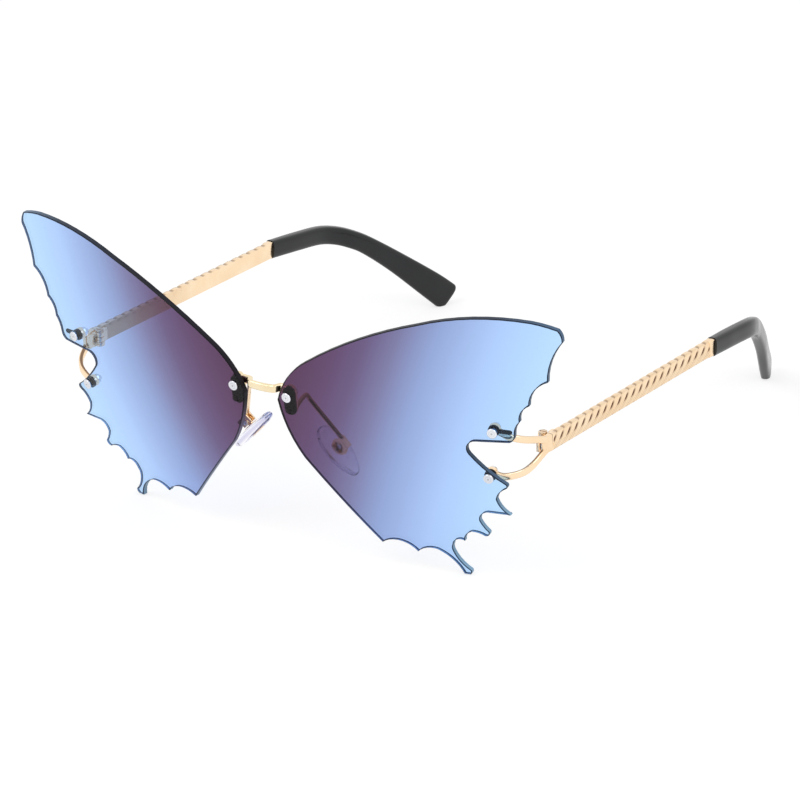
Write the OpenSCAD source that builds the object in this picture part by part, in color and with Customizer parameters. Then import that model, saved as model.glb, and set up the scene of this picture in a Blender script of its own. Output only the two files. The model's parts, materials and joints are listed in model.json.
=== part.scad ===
/* [Lens] */
// Width of one wing-shaped lens along its own face
lens_w = 71.7; // [64:0.1:78]
// Height of one lens along its own face
lens_h = 69.1; // [64:0.1:74]
// Thickness of a lens
lens_t = 1.4; // [1.1:0.1:2.2]
// Radius of the domed front face of a lens
lens_r = 200; // [160:5:400]
// Turn of each lens towards the temples
wrap = 10; // [6:0.5:14]
// Forward lean of the lens tops
tilt = 4.5; // [0:0.5:7]
// Gap between the two lenses at the bridge
bridge_gap = 9.2; // [8:0.1:14]

/* [Bridge and nose pads] */
// Height of the gold bridge bar
bridge_h = 1.7; // [1.4:0.1:2.4]
// Thickness of the bridge bar
bridge_t = 1.2; // [0.8:0.1:1.6]
// Diameter of a pad arm's wire
arm_d = 0.9; // [0.8:0.1:1.4]
// Length of a nose pad
pad_l = 13.8; // [12:0.1:16]
// Width of a nose pad
pad_w = 7.6; // [6:0.1:9]
// Thickness of a nose pad
pad_t = 2.5; // [2.3:0.1:3.4]
// Frontal angle of a nose pad
pad_splay = 45; // [36:1:50]
// Turn of a nose pad towards the face
pad_turn = 6; // [0:1:16]

/* [Temples] */
// Distance that each hinge axis stands out past the upper eye of its end piece
hinge_out = 4.3; // [3:0.1:5]
// Distance from the upper eye of the end piece back to the hinge axis
hinge_behind = 12.5; // [11:0.1:14]
// Length of the gold temple bar behind the hinge
bar_l = 70; // [60:0.5:84]
// Height of the temple bar
bar_h = 4.1; // [3.6:0.1:5]
// Thickness of the temple bar's plain strip
bar_t = 1.0; // [0.8:0.1:1.4]
// Height of the twisted rope relief on the bar's outer face
rope_t = 0.7; // [0.4:0.1:1]
// Fall of the temples towards the ears
bar_fall = 2.9; // [0:0.1:5]
// Turn of the temples towards each other
bar_close = 0.8; // [0:0.1:3]
// Length along the temple that the black tip runs past the bar
hook_run = 50; // [44:0.5:56]
// Inward reach of the curved tip
hook_in = 16.4; // [8:0.1:17]
// Height of the tip sleeve at its mouth
tip_h = 4.5; // [4.2:0.1:5.5]
// Thickness of the tip sleeve
tip_t = 3.2; // [2.8:0.1:3.8]

/* [Hidden] */

// Overrun of cuts, seat clearance of flat faces and running clearance of pins
cut = 1;
seat = 0.02;
run = 0.05;
// Clearance between folding or rocking pieces
free = 0.3;
round_fn = 48;
small_fn = 24;
pad_fn = 32;
dome_fn = 128;

// Fasteners: shank, head, nut and bush sizes
shank_r = 0.55;
head_r = 1.2;
head_t = 0.45;
slot_w = 0.3;
slot_d = 0.2;
nut_r = 1.15;
nut_t = 1.3;
bush_r = 0.8;
bush_flange_r = 1.35;
bush_flange_t = 0.5;
eye_t = 1.0;
eye_r = 1.4;
shank_past = 0.2;

// Outline of the left lens seen from the front: each row is the share of the lens's width and
// height, then the bulge of the edge up to the next row as a share of its chord, outward positive
outline_shares = [
    [0.000, 0.582, 0.088], [0.116, 0.745, 0.041], [0.521, 0.947, 0.056], [0.894, 0.990, 0.025],
    [0.980, 0.968, 0.104], [0.994, 0.927, -0.084], [0.942, 0.784, -0.159], [0.878, 0.695, -0.166],
    [0.844, 0.635, -0.097], [0.824, 0.585, 0.154], [0.805, 0.554, 0], [0.692, 0.548, -0.32],
    [0.669, 0.499, -0.04], [0.781, 0.392, 0.2], [0.775, 0.374, -0.12], [0.741, 0.331, -0.1],
    [0.780, 0.271, 0], [0.703, 0.274, -0.2], [0.675, 0.239, -0.05], [0.700, 0.195, 0.25],
    [0.683, 0.175, -0.08], [0.639, 0.188, -0.15], [0.611, 0.146, -0.28], [0.569, 0.126, -0.1],
    [0.566, 0.100, -0.08], [0.614, 0.022, 0.35], [0.587, 0.003, -0.11], [0.510, 0.095, -0.138],
    [0.439, 0.073, -0.215], [0.316, 0.088, 0], [0.076, 0.378, 0.058]];
// Largest distance between an arc of the edge and the short straight runs that draw it
edge_error = 0.025;
// Shares of width and height where the dome's crown, the holes and the tail lie
crown_shares = [0.476, 0.669];
bridge_hole_shares = [0.037, 0.601];
peg_hole_shares = [0.039, 0.550];
upper_hole_shares = [0.752, 0.587];
lower_hole_shares = [0.724, 0.412];
tail_share = 0.598;

// Points of the lens face from a pair of shares
function face_x(share) = (share - crown_shares[0]) * lens_w;
function face_z(share) = (share - crown_shares[1]) * lens_h;
function face_depth(x, z) = sqrt(lens_r * lens_r - x * x - z * z);
function face_point(x, z) = [x, lens_r - face_depth(x, z), z];
function face_normal(x, z) = [x, -face_depth(x, z), z] / lens_r;

// Height that leaves a small flat foot on the tail of each lens
foot_cut = 0.25;
tail_point = face_point(face_x(tail_share), face_z(0));
lens_z = -tail_point[1] * sin(tilt) - tail_point[2] * cos(tilt) - foot_cut;
// Place of the crown, so that the nasal edge keeps the gap and the bridge screw is at the front
nasal_point = face_point(face_x(0), face_z(outline_shares[0][1]));
function turn_x(p, a) = [p[0], p[1] * cos(a) - p[2] * sin(a), p[1] * sin(a) + p[2] * cos(a)];
function turn_y(p, a) = [p[0] * cos(a) + p[2] * sin(a), p[1], -p[0] * sin(a) + p[2] * cos(a)];
function turn_z(p, a) = [p[0] * cos(a) - p[1] * sin(a), p[0] * sin(a) + p[1] * cos(a), p[2]];
function lens_turn(p) = turn_z(turn_x(p, tilt), wrap);
bridge_x = face_x(bridge_hole_shares[0]);
bridge_z = face_z(bridge_hole_shares[1]);
bridge_turned = lens_turn(face_point(bridge_x, bridge_z));
lens_x = bridge_gap / 2 - lens_turn(nasal_point)[0];
lens_y = head_t - bridge_turned[1];
lens_origin = [lens_x, lens_y, lens_z];
function lens_place(p) = lens_origin + lens_turn(p);
function behind(x, z, d) = lens_place(face_point(x, z) - d * face_normal(x, z));

// Edge of the lens: straight runs and arcs through the rows of the outline
function unit(v) = v / norm(v);
function row_point(i) = [face_x(outline_shares[i][0]), face_z(outline_shares[i][1])];
function left_of(v) = [-v[1], v[0]];
function arc_points(p, q, bulge, n) =
    let (chord = q - p, len = norm(chord), s = bulge * len, r = (len * len / 4 + s * s) / (2 * s))
    let (mid = (p + q) / 2, c = mid + left_of(chord / len) * (s - r))
    let (half = 2 * atan(2 * bulge))
    [for (k = [0:n - 1]) let (a = half * (1 - 2 * k / n), d = left_of(chord / len) * r)
        c + [d[0] * cos(a) - d[1] * sin(a), d[0] * sin(a) + d[1] * cos(a)]];
function edge_points(i) =
    let (p = row_point(i), q = row_point((i + 1) % len(outline_shares)))
    let (bulge = outline_shares[i][2], n = ceil(sqrt(abs(bulge) * norm(q - p) / edge_error)))
    bulge == 0 ? [p] : arc_points(p, q, bulge, n);
lens_edge = [for (i = [0:len(outline_shares) - 1]) each edge_points(i)];

// Smooth curve through hand-set points, and strips swept along it
function spline_at(a, b, c, d, t) = 0.5 * (2 * b + (c - a) * t
    + (2 * a - 5 * b + 4 * c - d) * t * t + (3 * b - a - 3 * c + d) * t * t * t);
function smooth(pts, n) =
    let (last = len(pts) - 1)
    [for (i = [0:last - 1], k = [0:n - 1]) spline_at(pts[max(i - 1, 0)], pts[i], pts[i + 1],
        pts[min(i + 2, last)], k / n), pts[last]];
function heading(path, i) = unit(path[min(i + 1, len(path) - 1)] - path[max(i - 1, 0)]);
function place_ring(path, i, ring) =
    let (d = heading(path, i), side = unit(cross(d, [0, 0, 1])), up = cross(side, d))
    [for (p = ring) path[i] + p[0] * side + p[1] * up];
function ring_faces(rings, m) = [for (i = [0:rings - 2], k = [0:m - 1])
    let (a = i * m + k, b = i * m + (k + 1) % m)
    each [[a, b, a + m], [b, b + m, a + m]]];
function cap_faces(first, m) = [for (k = [1:m - 2]) [first, first + k + 1, first + k]];
function end_faces(first, m) = [for (k = [1:m - 2]) [first, first + k, first + k + 1]];
module sweep(path, sections) {
    m = len(sections[0]);
    n = len(path);
    points = [for (i = [0:n - 1]) each place_ring(path, i, sections[i])];
    polyhedron(points, concat(ring_faces(n, m), cap_faces(0, m), end_faces((n - 1) * m, m)));
}
// Sections: a strip with rounded corners and an oval
corner_turns = [0, 45, 90];
function strip_ring(t, h, r) = [for (c = [0:3], a = corner_turns)
    let (x = (c == 0 || c == 3 ? 1 : -1), y = (c < 2 ? 1 : -1))
    [x * (t / 2 - r) + r * cos(a + 90 * c), y * (h / 2 - r) + r * sin(a + 90 * c)]];
oval_sides = 16;
oval_power = 0.7;
function oval_ring(t, h) = [for (k = [0:oval_sides - 1])
    let (a = 360 * (k + 0.5) / oval_sides, x = cos(a), y = sin(a))
    [t / 2 * sign(x) * pow(abs(x), oval_power), h / 2 * sign(y) * pow(abs(y), oval_power)]];
function wire_ring(d, n) = [for (k = [0:n - 1]) d / 2 * [cos(360 * k / n), sin(360 * k / n)]];

// Distances of the hinge, the temple bar and the tip
barrel_r = 1.15;
pin_r = 0.55;
leaf_t = 0.9;
upper_x = face_x(upper_hole_shares[0]);
upper_z = face_z(upper_hole_shares[1]);
lower_x = face_x(lower_hole_shares[0]);
lower_z = face_z(lower_hole_shares[1]);
eye_depth = lens_t + bush_flange_t + eye_t / 2 + 2 * seat;
upper_eye = behind(upper_x, upper_z, eye_depth);
lower_eye = behind(lower_x, lower_z, eye_depth);
hinge_x = upper_eye[0] + hinge_out;
hinge_back = upper_eye[1] + hinge_behind;
hinge_drop = 1.0;
hinge_z = (upper_eye[2] + lower_eye[2]) / 2 - hinge_drop;
bar_x = hinge_x + barrel_r + run;
bar_start = hinge_back - free / 2;
bar_long = bar_l / cos(bar_fall);
bar_middle = (bar_t + rope_t) / 2;
// A point of the bar's own frame: +Y along the bar from its root, +X out of its inner face
function bar_place(p) = [bar_x, bar_start, hinge_z] + turn_z(turn_x(p, -bar_fall), bar_close);
bar_end = bar_place([bar_middle, bar_long, 0]);
// Route of the tip: shares of its run, inward reach and height above the ground, with the
// sleeve's height and thickness there as shares of those at its mouth
tip_route_shares = [
    [0, 0, 1.000, 1, 1], [0.20, 0.055, 0.955, 1, 1], [0.36, 0.105, 0.912, 1, 0.98],
    [0.46, 0.195, 0.860, 1, 0.95], [0.54, 0.310, 0.790, 1, 0.93], [0.62, 0.420, 0.695, 1.02, 0.91],
    [0.76, 0.620, 0.484, 1.18, 0.88], [0.92, 0.878, 0.213, 1.5, 0.84], [1, 1, 0.070, 1.58, 0.82]];
tip_steps = 4;
tip_rows = smooth(tip_route_shares, tip_steps);
tip_path = [for (r = tip_rows)
    [bar_end[0] - r[1] * hook_in, bar_end[1] + r[0] * hook_run, r[2] * bar_end[2]]];
tip_rings = [for (r = tip_rows) oval_ring(r[4] * tip_t, r[3] * tip_h)];
core_d = 1.3;
core_rows_share = 0.75;
core_count = round(core_rows_share * (len(tip_path) - 1));
core_path = [for (i = [0:core_count]) tip_path[i]];
core_sides = 8;

// Depth of the standing part and the offset that puts the origin under its middle
tip_reach_share = 0.473;
stand_depth = bar_end[1] + hook_run + tip_reach_share * tip_h * cos(bar_fall);
middle_y = stand_depth / 2;

// Nose pads: place of a pad's middle, measured from the bridge screw, and its mounting box
pad_out = 4.7;
pad_back = 13.4;
pad_down = 17.1;
bridge_eye = behind(bridge_x, bridge_z, 0);
pad_middle = [bridge_eye[0] + pad_out, pad_back, bridge_eye[2] - pad_down];
box_l = 3.0;
box_gap = 1.1;
cheek_t = 0.4;
box_back_t = 0.5;
stem_h = 1.4;
stem_l = 1.4;
pad_pin_r = 0.35;
pad_head_r = 0.6;
pad_head_t = 0.3;
core_plate_t = 0.6;
core_plate_r = 2.1;
core_cover = 0.3;
pad_pin_up = 0.5;
lug_w = 2.6;
lug_t = 0.9;
// Gap between the domed back of a lens and the flat plate of its bridge bush
plate_gap = 0.09;
plate_depth = lens_t + plate_gap + bush_flange_t;
lug_depth = plate_depth + seat + lug_t / 2;
peg_r = 0.45;
peg_bush_r = 0.75;
peg_cover = 0.3;
bush_plate_r = 1.55;

// A part of the wearer's left side as drawn, or mirrored for the right side
module side_of(side) {
    translate([0, -middle_y, 0])
        if (side > 0)
            children();
        else
            mirror([1, 0, 0]) children();
}

// The lens's own frame, and a frame on its front face whose +Z points out of the face
module in_lens() {
    translate(lens_origin) rotate([tilt, 0, wrap]) children();
}
module on_face(x, z) {
    in_lens()
        translate(face_point(x, z))
            rotate([90 - asin(z / lens_r), 0, atan2(x, face_depth(x, z))])
                children();
}
module on_hole(shares) {
    on_face(face_x(shares[0]), face_z(shares[1])) children();
}
module ground_cut() {
    ground = 4 * lens_w;
    translate([-ground / 2, -ground / 2, -ground]) cube([ground, ground, ground]);
}

module lens_blank() {
    dome = lens_r - face_depth(lens_w / 2, lens_h / 2);
    deep = dome + lens_t + 2 * cut;
    in_lens() intersection() {
        translate([0, deep - cut, 0])
            rotate([90, 0, 0])
                linear_extrude(height = deep) polygon(lens_edge);
        translate([0, lens_r, 0]) difference() {
            sphere(r = lens_r, $fn = dome_fn);
            sphere(r = lens_r - lens_t, $fn = dome_fn);
        }
    }
}
module lens_body() {
    difference() {
        lens_blank();
        for (shares = [bridge_hole_shares, upper_hole_shares, lower_hole_shares])
            on_hole(shares)
                translate([0, 0, -lens_t - cut])
                    cylinder(r = bush_r + run, h = lens_t + 2 * cut, $fn = round_fn);
        on_hole(peg_hole_shares)
            translate([0, 0, -lens_t - cut])
                cylinder(r = peg_bush_r + run, h = lens_t + 2 * cut, $fn = round_fn);
        ground_cut();
    }
}

// Screw with a slotted disc head in front of the lens, reaching to the nut behind it
module slotted_screw(grip) {
    reach = grip + nut_t + shank_past;
    difference() {
        union() {
            translate([0, 0, seat]) cylinder(r = head_r, h = head_t, $fn = round_fn);
            translate([0, 0, -reach]) cylinder(r = shank_r, h = reach + head_t, $fn = round_fn);
        }
        translate([-head_r - cut, -slot_w / 2, seat + head_t - slot_d])
            cube([2 * (head_r + cut), slot_w, cut]);
    }
}
// Plastic bush through the lens with a flange behind it
module bush() {
    difference() {
        union() {
            translate([0, 0, -lens_t - seat]) cylinder(r = bush_r, h = lens_t, $fn = round_fn);
            translate([0, 0, -lens_t - seat - bush_flange_t])
                cylinder(r = bush_flange_r, h = bush_flange_t, $fn = round_fn);
        }
        translate([0, 0, -lens_t - bush_flange_t - cut])
            cylinder(r = shank_r + run, h = lens_t + bush_flange_t + 2 * cut, $fn = round_fn);
    }
}
// Bush of a bridge lug: a plate behind the lens with a sleeve round the screw and a blind sleeve
// over the peg
peg_drop = (bridge_hole_shares[1] - peg_hole_shares[1]) * lens_h;
module plate_shape(wide) {
    hull() {
        translate([0, bush_plate_r / 4]) circle(r = wide, $fn = small_fn);
        translate([0, -peg_drop]) circle(r = wide, $fn = small_fn);
    }
}
module bridge_bush() {
    difference() {
        union() {
            on_hole(bridge_hole_shares)
                translate([0, 0, -plate_depth]) {
                    cylinder(r = bush_r, h = plate_depth - seat, $fn = round_fn);
                    linear_extrude(height = bush_flange_t) plate_shape(bush_plate_r);
                }
            on_hole(peg_hole_shares)
                translate([0, 0, -lens_t - plate_gap])
                    cylinder(r = peg_bush_r, h = lens_t + plate_gap - seat, $fn = round_fn);
        }
        on_hole(bridge_hole_shares)
            translate([0, 0, -plate_depth - cut])
                cylinder(r = shank_r + run, h = plate_depth + 2 * cut, $fn = round_fn);
        on_hole(peg_hole_shares)
            translate([0, 0, -plate_depth - cut])
                cylinder(r = peg_r + run, h = plate_depth + cut - peg_cover, $fn = round_fn);
    }
}
// Six-sided nut with a domed back, its front face at the given depth
module nut(depth) {
    difference() {
        translate([0, 0, -depth - seat - nut_t]) intersection() {
            cylinder(r = nut_r, h = nut_t, $fn = 6);
            translate([0, 0, nut_r]) sphere(r = nut_r + run, $fn = round_fn);
        }
        translate([0, 0, -depth - nut_t - cut])
            cylinder(r = shank_r + run, h = nut_t + 2 * cut, $fn = round_fn);
    }
}

// Room for a nut and the end of its screw behind a lug or an eye, and for the bush's flange
// in front of it
module nut_room(depth) {
    long = nut_t + shank_past + run;
    translate([0, 0, -depth - long]) cylinder(r = nut_r + run, h = long + seat, $fn = round_fn);
}
module flange_room() {
    translate([0, 0, -lens_t - bush_flange_t - 2 * seat])
        cylinder(r = bush_flange_r + run, h = bush_flange_t + lens_t, $fn = round_fn);
}

lug_grip = plate_depth + lug_t + 2 * seat;
eye_grip = lens_t + bush_flange_t + eye_t + 3 * seat;
module bridge_set(side) {
    side_of(side) on_hole(bridge_hole_shares) children();
}
module lens_set(side) {
    side_of(side)
        for (shares = [upper_hole_shares, lower_hole_shares])
            on_hole(shares) children();
}

// Bridge bar: a strip between the lenses' edges that wraps behind them to two lugs, each with a
// screw hole and a locating peg
bridge_set_back = 0.75;
bridge_rise = 1.05;
bridge_dip = 0.2;
bridge_room = 0.15;
bridge_corner_share = 0.35;
bridge_flat_share = 0.6;
bridge_lug = behind(bridge_x, bridge_z, lug_depth);
bend_x = bridge_gap / 2 - bridge_t / 2 - bridge_room;
bridge_front = bridge_eye[1] + bridge_set_back;
bridge_top = bridge_eye[2] + bridge_rise;
bridge_points = [
    [0, bridge_front, bridge_top - bridge_dip],
    [bend_x * bridge_flat_share, bridge_front, bridge_top - bridge_dip / 2],
    [bend_x, bridge_front, bridge_top],
    [bend_x + bridge_room, bridge_front + lens_t, bridge_top],
    [(bend_x + bridge_lug[0]) / 2, bridge_lug[1] + bridge_room / 2, bridge_top],
    [bridge_lug[0], bridge_lug[1], bridge_top]];
bridge_half = smooth(bridge_points, 4);
bridge_last = len(bridge_half) - 1;
bridge_path = concat(
    [for (i = [0:bridge_last - 1]) let (p = bridge_half[bridge_last - i]) [-p[0], p[1], p[2]]],
    bridge_half);
module bridge_lug_solid() {
    on_hole(bridge_hole_shares)
        translate([0, 0, -lug_depth - lug_t / 2])
            linear_extrude(height = lug_t)
                hull() {
                    translate([0, bridge_rise]) circle(d = lug_w, $fn = small_fn);
                    translate([0, -peg_drop]) circle(d = lug_w, $fn = small_fn);
                }
    on_hole(peg_hole_shares)
        translate([0, 0, -lug_depth])
            cylinder(r = peg_r, h = lug_depth - seat - peg_cover - run, $fn = round_fn);
}
module bridge_bar() {
    color("goldenrod") difference() {
        union() {
            for (side = [1, -1])
                side_of(side) bridge_lug_solid();
            translate([0, -middle_y, 0])
                sweep(bridge_path, [for (p = bridge_path)
                    strip_ring(bridge_t, bridge_h, bridge_t * bridge_corner_share)]);
        }
        for (side = [1, -1])
            bridge_set(side) {
                translate([0, 0, -lug_depth - lug_t])
                    cylinder(r = shank_r + run, h = 2 * lug_t, $fn = round_fn);
                translate([0, 0, -plate_depth - seat])
                    linear_extrude(height = plate_depth)
                        difference() {
                            plate_shape(bush_plate_r + run);
                            translate([0, -peg_drop]) circle(r = peg_r + run / 2, $fn = small_fn);
                        }
                nut_room(lug_grip);
            }
    }
}

// Nose pad frame: +Z along the pad, -X out of its contact face, origin in its middle
module at_pad() {
    translate(pad_middle) rotate([0, -pad_splay, 0]) rotate([0, 0, -pad_turn]) children();
}
function pad_place(p) = pad_middle + turn_y(turn_z(p, -pad_turn), -pad_splay);
pin_x = pad_t / 2 + free + stem_h / 2;
box_back_x = pin_x + stem_h / 2 + free;
module pad_box() {
    width = box_gap + 2 * cheek_t;
    floor_x = pad_t / 2 + free;
    color("goldenrod") at_pad() difference() {
        translate([floor_x, -width / 2, pad_pin_up - box_l / 2])
            cube([box_back_x + box_back_t - floor_x, width, box_l]);
        translate([floor_x - cut, -box_gap / 2, pad_pin_up - box_l / 2 - cut])
            cube([box_back_x - floor_x + cut, box_gap, box_l + 2 * cut]);
        translate([pin_x, width, pad_pin_up])
            rotate([90, 0, 0]) cylinder(r = pad_pin_r + seat, h = 2 * width, $fn = round_fn);
    }
}
module pad_screw() {
    width = box_gap + 2 * cheek_t;
    color("silver") at_pad() translate([pin_x, 0, pad_pin_up]) rotate([90, 0, 0]) difference() {
        union() {
            translate([0, 0, -width / 2]) cylinder(r = pad_pin_r, h = width + cheek_t, $fn = round_fn);
            translate([0, 0, width / 2 + seat]) cylinder(r = pad_head_r, h = pad_head_t, $fn = round_fn);
        }
        translate([-cut, -slot_w / 2, width / 2 + pad_head_t - slot_d]) cube([2 * cut, slot_w, cut]);
    }
}
stem_t = box_gap - 2 * free / 3;
pocket_x = pad_t / 2 - core_cover;
module core_solid(grow) {
    translate([pocket_x - core_plate_t - grow, 0, pad_pin_up])
        rotate([0, 90, 0])
            cylinder(r = core_plate_r + grow, h = core_plate_t + 2 * grow, $fn = round_fn);
    translate([pocket_x - grow, -stem_t / 2 - grow, pad_pin_up - stem_l / 2 - grow])
        cube([pin_x - pocket_x + grow, stem_t + 2 * grow, stem_l + 2 * grow]);
}
module pad_core() {
    color("goldenrod") at_pad() difference() {
        union() {
            core_solid(0);
            translate([pin_x, stem_t / 2, pad_pin_up])
                rotate([90, 0, 0]) cylinder(r = stem_l / 2, h = stem_t, $fn = round_fn);
        }
        translate([pin_x, stem_t, pad_pin_up])
            rotate([90, 0, 0]) cylinder(r = pad_pin_r + run, h = 2 * stem_t, $fn = round_fn);
    }
}
// Width of the pad's upper end as a share of its lower end, and the slices of its crown: shares of
// its thickness and of its outline
pad_round_share = 0.62;
pad_slice_shares = [[-0.5, 0.55], [-0.38, 0.82], [-0.12, 0.98], [0.18, 1], [0.46, 0.86]];
slice_t_share = 0.04;
module pad_slice(at_share, share) {
    translate([at_share * pad_t, 0, 0])
        rotate([0, 90, 0])
            linear_extrude(height = slice_t_share * pad_t)
                scale(share)
                    hull() {
                        translate([pad_l / 2 - pad_w / 2, 0]) circle(d = pad_w, $fn = pad_fn);
                        translate([-pad_l / 2 + pad_w * pad_round_share / 2, 0])
                            circle(d = pad_w * pad_round_share, $fn = pad_fn);
                    }
}
module nose_pad() {
    color("aliceblue", 0.5) at_pad() difference() {
        hull()
            for (slice = pad_slice_shares)
                pad_slice(slice[0], slice[1]);
        core_solid(run);
    }
}

// Pad arm: a wire from behind the lug, back over a knee, then down to the top of the pad box
arm_aside_share = 0.35;
arm_root = behind(bridge_x + lug_w * arm_aside_share, face_z(peg_hole_shares[1]) + peg_r,
    lug_depth + lug_t / 2);
arm_end = pad_place([box_back_x + box_back_t / 2, 0, pad_pin_up + box_l / 2 - arm_d / 2]);
arm_rise = 1.0;
arm_loop = 4.2;
arm_knee = arm_root + [0, arm_loop, arm_rise];
// Each row is a share of the way over the knee, or of the way from the knee to the box
knee_shares = [[0.45, 0.95], [0.85, 1.25]];
fall_shares = [0.12, 0.5];
arm_points = concat(
    [arm_root],
    [for (k = knee_shares) arm_root + [0, k[0] * arm_loop, k[1] * arm_rise]],
    [arm_knee + [0, arm_d / 2, -arm_d / 2]],
    [for (k = fall_shares) arm_knee + (arm_end - arm_knee) * k],
    [arm_end]);
arm_path = smooth(arm_points, 4);
arm_sides = 12;
module pad_arm() {
    color("goldenrod") difference() {
        sweep(arm_path, [for (p = arm_path) wire_ring(arm_d, arm_sides)]);
        on_hole(bridge_hole_shares)
            translate([-2 * lug_w, -3 * lug_w, -lug_depth - lug_t / 2])
                cube([4 * lug_w, 6 * lug_w, lug_t]);
        at_pad()
            translate([-box_l, -box_l, pad_pin_up - box_l])
                cube([3 * box_l, 2 * box_l, box_l * 3 / 2]);
    }
}

// End piece: two prongs from the lens screws that close to a loop at the hinge
prong_h = 1.7;
prong_t = 1.0;
prong_corner_share = 0.25;
block_l = 2.9;
block_end = hinge_back - barrel_r - 2 * free;
joint_face = hinge_back - free * 3 / 2;
prong_gap = 0.9;
block_share = 0.6;
block_out = bar_t + rope_t * block_share;
// Course of each prong: shares of the way out, back and down or up from its eye to the joint
upper_prong_shares = [
    [0, 0, 0], [0.30, 0.04, 0.17], [0.60, 0.14, 0.38], [0.84, 0.32, 0.54], [0.97, 0.62, 0.74],
    [1, 0.95, 1]];
lower_prong_shares = [
    [0, 0, 0], [0.26, 0.09, -0.22], [0.55, 0.20, -0.12], [0.78, 0.31, 0.10], [0.92, 0.47, 0.42],
    [0.98, 0.70, 0.76], [1, 0.95, 1]];
module prong(eye, shares, sense) {
    way = [bar_x + block_out - prong_t / 2, joint_face, hinge_z + sense * prong_gap] - eye;
    points = [for (s = shares) eye + [s[0] * way[0], s[1] * way[1], s[2] * way[2]]];
    path = smooth(points, 4);
    sweep(path, [for (p = path) strip_ring(prong_t, prong_h, prong_t * prong_corner_share)]);
}
module eye(shares) {
    on_hole(shares)
        translate([0, 0, -eye_depth - eye_t / 2])
            cylinder(r = eye_r, h = eye_t, $fn = round_fn);
}
module eye_hole(shares) {
    on_hole(shares)
        translate([0, 0, -eye_depth - 2 * eye_t])
            cylinder(r = shank_r + run, h = 4 * eye_t, $fn = round_fn);
}
module seat_cut(shares) {
    wide = 6 * eye_r;
    on_hole(shares)
        translate([-wide / 2, -wide / 2, -eye_depth + eye_t / 2]) cube([wide, wide, eye_t]);
}
module end_piece() {
    color("goldenrod") difference() {
        union() {
            prong(upper_eye, upper_prong_shares, 1);
            prong(lower_eye, lower_prong_shares, -1);
            eye(upper_hole_shares);
            eye(lower_hole_shares);
            translate([bar_x, joint_face - block_l, hinge_z - bar_h / 2])
                cube([block_out, block_l, bar_h]);
        }
        for (shares = [upper_hole_shares, lower_hole_shares]) {
            eye_hole(shares);
            seat_cut(shares);
            on_hole(shares) nut_room(eye_grip);
        }
        translate([leaf_x - run, block_end - leaf_l - run, hinge_z - leaf_rise / 2 - run])
            cube([leaf_t + run, leaf_l + block_l, leaf_rise + 2 * run]);
    }
}

// Hinge: the front leaf has the outer knuckles, the temple leaf the middle one
knuckle_n = 3;
hinge_h = 3.4;
knuckle_h = (hinge_h - (knuckle_n - 1) * run * 2) / knuckle_n;
knuckle_pitch = knuckle_h + run * 2;
leaf_l = 1.6;
leaf_x = bar_x - leaf_t;
leaf_share = 0.9;
leaf_rise = hinge_h * leaf_share;
module knuckle(level, clearance) {
    translate([hinge_x, hinge_back, hinge_z - hinge_h / 2 + level * knuckle_pitch])
        difference() {
            cylinder(r = barrel_r, h = knuckle_h, $fn = round_fn);
            translate([0, 0, -cut])
                cylinder(r = pin_r + clearance, h = knuckle_h + 2 * cut, $fn = round_fn);
        }
}
module knuckle_web(level, sense, clearance) {
    near = sense > 0 ? hinge_back : hinge_back - barrel_r - 2 * free;
    difference() {
        translate([leaf_x, near, hinge_z - hinge_h / 2 + level * knuckle_pitch])
            cube([leaf_t - run, barrel_r + 2 * free, knuckle_h]);
        translate([hinge_x, hinge_back, hinge_z - hinge_h])
            cylinder(r = pin_r + clearance, h = 2 * hinge_h, $fn = round_fn);
    }
}
module front_leaf() {
    color("goldenrod") {
        translate([leaf_x, block_end - leaf_l, hinge_z - leaf_rise / 2])
            cube([leaf_t, leaf_l, leaf_rise]);
        for (level = [0, 2]) {
            knuckle(level, seat);
            knuckle_web(level, -1, seat);
        }
    }
}
module temple_leaf() {
    color("goldenrod") {
        difference() {
            translate([leaf_x, hinge_back + barrel_r + 2 * free, hinge_z - leaf_rise / 2])
                cube([leaf_t, leaf_l, leaf_rise]);
            bar_slope() translate([0, 0, -bar_h]) cube([bar_t, 2 * bar_h, 2 * bar_h]);
        }
        knuckle(1, run);
        knuckle_web(1, 1, run);
    }
}
hinge_head_t = 0.45;
module hinge_screw() {
    color("silver") translate([hinge_x, hinge_back, hinge_z - hinge_h / 2]) difference() {
        union() {
            cylinder(r = pin_r, h = hinge_h + hinge_head_t, $fn = round_fn);
            translate([0, 0, hinge_h + seat])
                cylinder(r = barrel_r * leaf_share, h = hinge_head_t, $fn = round_fn);
        }
        translate([-2 * barrel_r, -slot_w / 2, hinge_h + seat + hinge_head_t - slot_d])
            cube([4 * barrel_r, slot_w, cut]);
    }
}

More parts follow.
